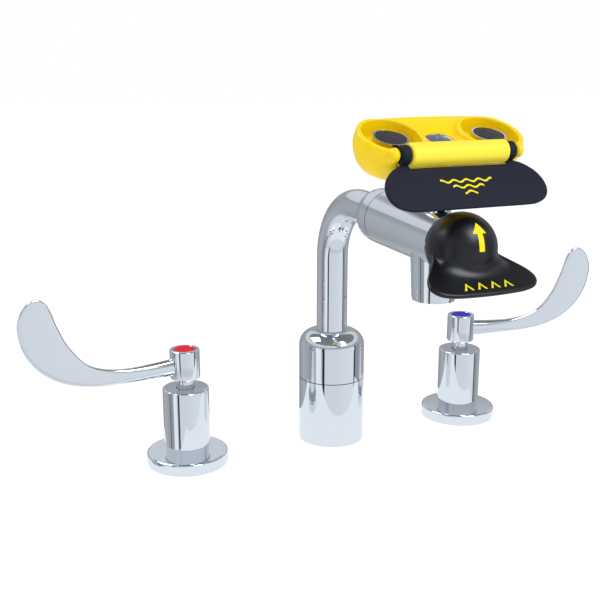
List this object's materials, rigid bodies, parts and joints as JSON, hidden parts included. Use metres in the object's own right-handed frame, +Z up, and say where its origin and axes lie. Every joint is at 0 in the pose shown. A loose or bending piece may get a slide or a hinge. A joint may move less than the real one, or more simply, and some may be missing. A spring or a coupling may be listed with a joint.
{
  "type": "deck-mounted faucet with eyewash head",
  "caption": "Deck-mounted wrist-blade faucet whose spout carries a hinged-cover twin-spray eyewash bowl, opened by a lift lever.",
  "frame": {"origin": "on the deck's top face, at the axis of the centre column", "axes": "+Z up, out of the deck; X along the row of deck holes with hot at -X and cold at +X; the spout points to -Y, towards the user"},
  "size_m": [0.4042, 0.2009, 0.3108],
  "materials": {
    "chrome_body": "polished chrome plate on brass",
    "brass": "plain turned brass",
    "copper": "drawn copper tube",
    "black_rubber": "matt moulded rubber",
    "steel": "stainless steel",
    "screen_mesh": "woven stainless mesh",
    "red_index": "gloss red",
    "blue_index": "gloss blue",
    "black_plastic": "satin black moulding",
    "yellow_plastic": "satin-gloss yellow moulding",
    "pale_yellow_plastic": "satin-gloss light yellow",
    "navy_plastic": "fine-grained matt navy"
  },
  "bodies": {
    "fixture": {"spout_base": "chrome_body", "column_seal": "black_rubber", "spout_collar": "chrome_body", "spout_tube": "chrome_body", "spout_shank": "brass", "eyewash_supply_tube": "copper", "mixing_tee": "brass", "hot_crossover_tube": "copper", "cold_crossover_tube": "copper", "compression_nuts": "brass", "under_deck_gaskets": "black_rubber", "clamp_washers": "steel", "locknuts": "brass", "hot_valve_body": "brass", "cold_valve_body": "brass", "hot_flange": "chrome_body", "cold_flange": "chrome_body", "flange_gaskets": "black_rubber", "hot_sleeve": "chrome_body", "cold_sleeve": "chrome_body", "hot_cartridge": "steel", "cold_cartridge": "steel", "rear_cap": "chrome_body", "cap_seal": "black_rubber", "diverter_body": "chrome_body", "outlet_nozzle": "chrome_body", "aerator_housing": "chrome_body", "aerator_screen": "screen_mesh", "valve_seat": "brass", "lever_pivot_pin": "steel", "bowl_riser": "chrome_body", "riser_collar": "chrome_body", "spray_manifold": "brass", "eyewash_bowl": "yellow_plastic", "centre_bolt": "chrome_body", "left_spray_head": "chrome_body", "right_spray_head": "chrome_body", "left_spray_screen": "screen_mesh", "right_spray_screen": "screen_mesh", "hinge_barrel": "pale_yellow_plastic", "hinge_pin": "steel"},
    "hot_lever": {"hot_stem": "chrome_body", "hot_handle": "chrome_body", "hot_handle_screw": "steel", "hot_index_button": "red_index"},
    "cold_lever": {"cold_stem": "chrome_body", "cold_handle": "chrome_body", "cold_handle_screw": "steel", "cold_index_button": "blue_index"},
    "lift_lever": {"lift_lever": "black_plastic", "lever_crossbar": "steel"},
    "plunger": {"valve_plunger": "brass", "plunger_seal": "black_rubber"},
    "cover": {"dust_cover": "navy_plastic"}
  },
  "joints": [
    {"name": "hot_handle_turn", "type": "hinge", "parent": "fixture", "child": "hot_lever", "pos_m": [-0.1016, 0, 0.064], "axis": [0, 0, 1], "range_deg": [0, 90]},
    {"name": "cold_handle_turn", "type": "hinge", "parent": "fixture", "child": "cold_lever", "pos_m": [0.1016, 0, 0.064], "axis": [0, 0, -1], "range_deg": [0, 90]},
    {"name": "lever_lift", "type": "hinge", "parent": "fixture", "child": "lift_lever", "pos_m": [0, -0.1464, 0.15561], "axis": [-1, 0, 0], "range_deg": [0, 30]},
    {"name": "plunger_slide", "type": "slide", "parent": "fixture", "child": "plunger", "axis": [0, -0.9982, -0.0593], "range_m": [0, 0.00425]},
    {"name": "cover_hinge", "type": "hinge", "parent": "fixture", "child": "cover", "pos_m": [0, -0.13965, 0.20234], "axis": [-1, 0, 0], "range_deg": [0, 200]}
  ],
  "couplings": [
    {"joint": "plunger_slide", "follows": "lever_lift", "m_per_rad": 0.0081}
  ]
}
